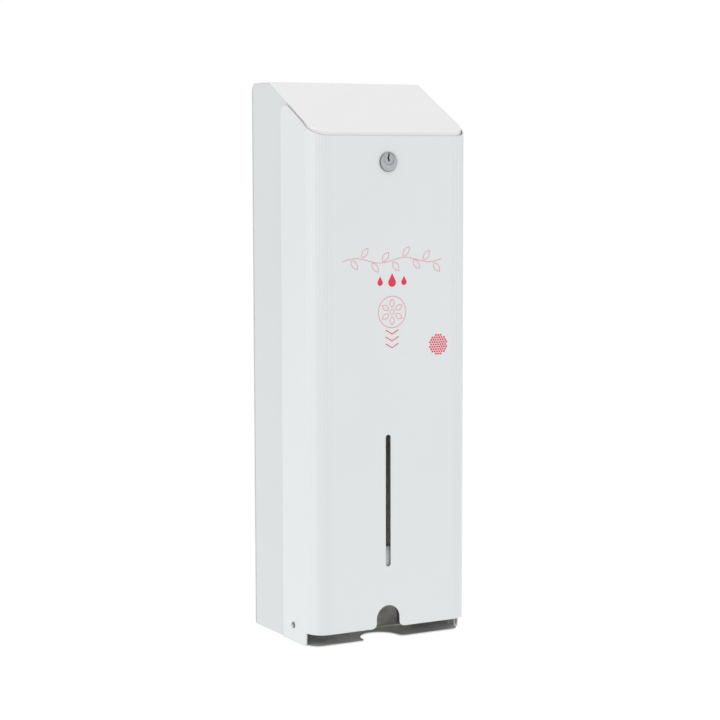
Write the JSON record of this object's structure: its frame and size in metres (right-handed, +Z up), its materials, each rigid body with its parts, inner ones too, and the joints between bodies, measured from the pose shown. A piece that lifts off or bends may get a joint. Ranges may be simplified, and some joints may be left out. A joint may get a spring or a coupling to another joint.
{
  "type": "sanitary pad dispenser",
  "caption": "Tall wall-hung sheet-steel dispenser for wrapped pads, with a sloped hood, a bent front cover with sight slot, finger notch and cam lock, and a weighted stack pusher.",
  "frame": {"origin": "middle of the face that lies on the wall", "axes": "+Z up, +X to the right as the user faces the dispenser, +Y into the wall; the front faces -Y"},
  "size_m": [0.1728, 0.1337, 0.535],
  "materials": {
    "white_paint": "satin",
    "galvanised_sheet": "dull",
    "lock_chrome": "polished",
    "fastener_steel": "plain",
    "nylon": "matte",
    "weight_iron": "dull"
  },
  "bodies": {
    "body": {"back_and_hood": "white_paint", "side_panel_left": "white_paint", "side_panel_right": "white_paint", "dispensing_shelf": "white_paint", "magazine_channel": "galvanised_sheet", "magazine_stud_lower_left": "fastener_steel", "magazine_stud_lower_right": "fastener_steel", "magazine_stud_upper_left": "fastener_steel", "magazine_stud_upper_right": "fastener_steel", "magazine_nut_lower_left": "galvanised_sheet", "magazine_nut_lower_right": "galvanised_sheet", "magazine_nut_upper_left": "galvanised_sheet", "magazine_nut_upper_right": "galvanised_sheet", "magazine_spacer_strip": "galvanised_sheet", "stack_gate": "galvanised_sheet", "hinge_rivet_left": "fastener_steel", "hinge_rivet_right": "fastener_steel", "hinge_washer_left": "nylon", "hinge_washer_right": "nylon", "lock_strike": "white_paint"},
    "cover": {"front_cover": "white_paint", "lock_housing": "lock_chrome", "lock_nut": "galvanised_sheet"},
    "lock_core": {"lock_plug": "lock_chrome", "lock_cam": "galvanised_sheet", "cam_screw": "fastener_steel"},
    "pusher": {"stack_pusher": "galvanised_sheet", "pusher_weight": "weight_iron", "weight_screw_left": "fastener_steel", "weight_screw_right": "fastener_steel"}
  },
  "joints": [
    {"name": "cover_hinge", "type": "hinge", "parent": "body", "child": "cover", "pos_m": [0, -0.088, -0.2514], "axis": [1, 0, 0], "range_deg": [0, 140]},
    {"name": "lock_turn", "type": "hinge", "parent": "cover", "child": "lock_core", "pos_m": [-0.0052, -0.125, 0.19355], "axis": [0, 1, 0], "range_deg": [0, 90]},
    {"name": "pusher_slide", "type": "slide", "parent": "body", "child": "pusher", "axis": [0, 0, 1], "range_m": [0, 0.33]}
  ]
}
